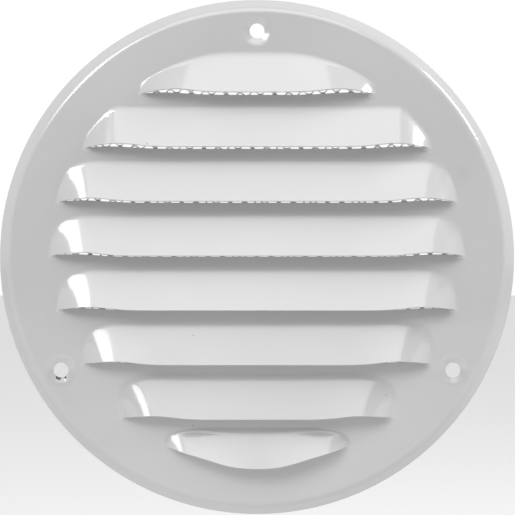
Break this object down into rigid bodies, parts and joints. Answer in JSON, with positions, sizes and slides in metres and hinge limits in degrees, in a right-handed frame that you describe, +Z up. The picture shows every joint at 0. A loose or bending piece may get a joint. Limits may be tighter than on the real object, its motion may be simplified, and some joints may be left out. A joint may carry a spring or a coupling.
{
  "type": "round wall vent grille",
  "caption": "Round pressed sheet-metal wall vent grille with hooded louvres opening downward, sunk screw holes and an insect screen glued behind.",
  "frame": {"origin": "centre of the screw-hole circle, on the plane of the holes' back edges", "axes": "+Z up the wall, +X to the right as seen from the room, -Y out of the wall towards the viewer"},
  "size_m": [0.15, 0.0085, 0.15],
  "materials": {
    "white_paint": "gloss white stove enamel on pressed steel sheet",
    "mesh_metal": "bare expanded aluminium, dull",
    "adhesive": "set hot-melt adhesive, smooth"
  },
  "bodies": {
    "root": {"face_plate": "white_paint", "insect_screen": "mesh_metal", "adhesive_dabs": "adhesive"}
  },
  "joints": []
}
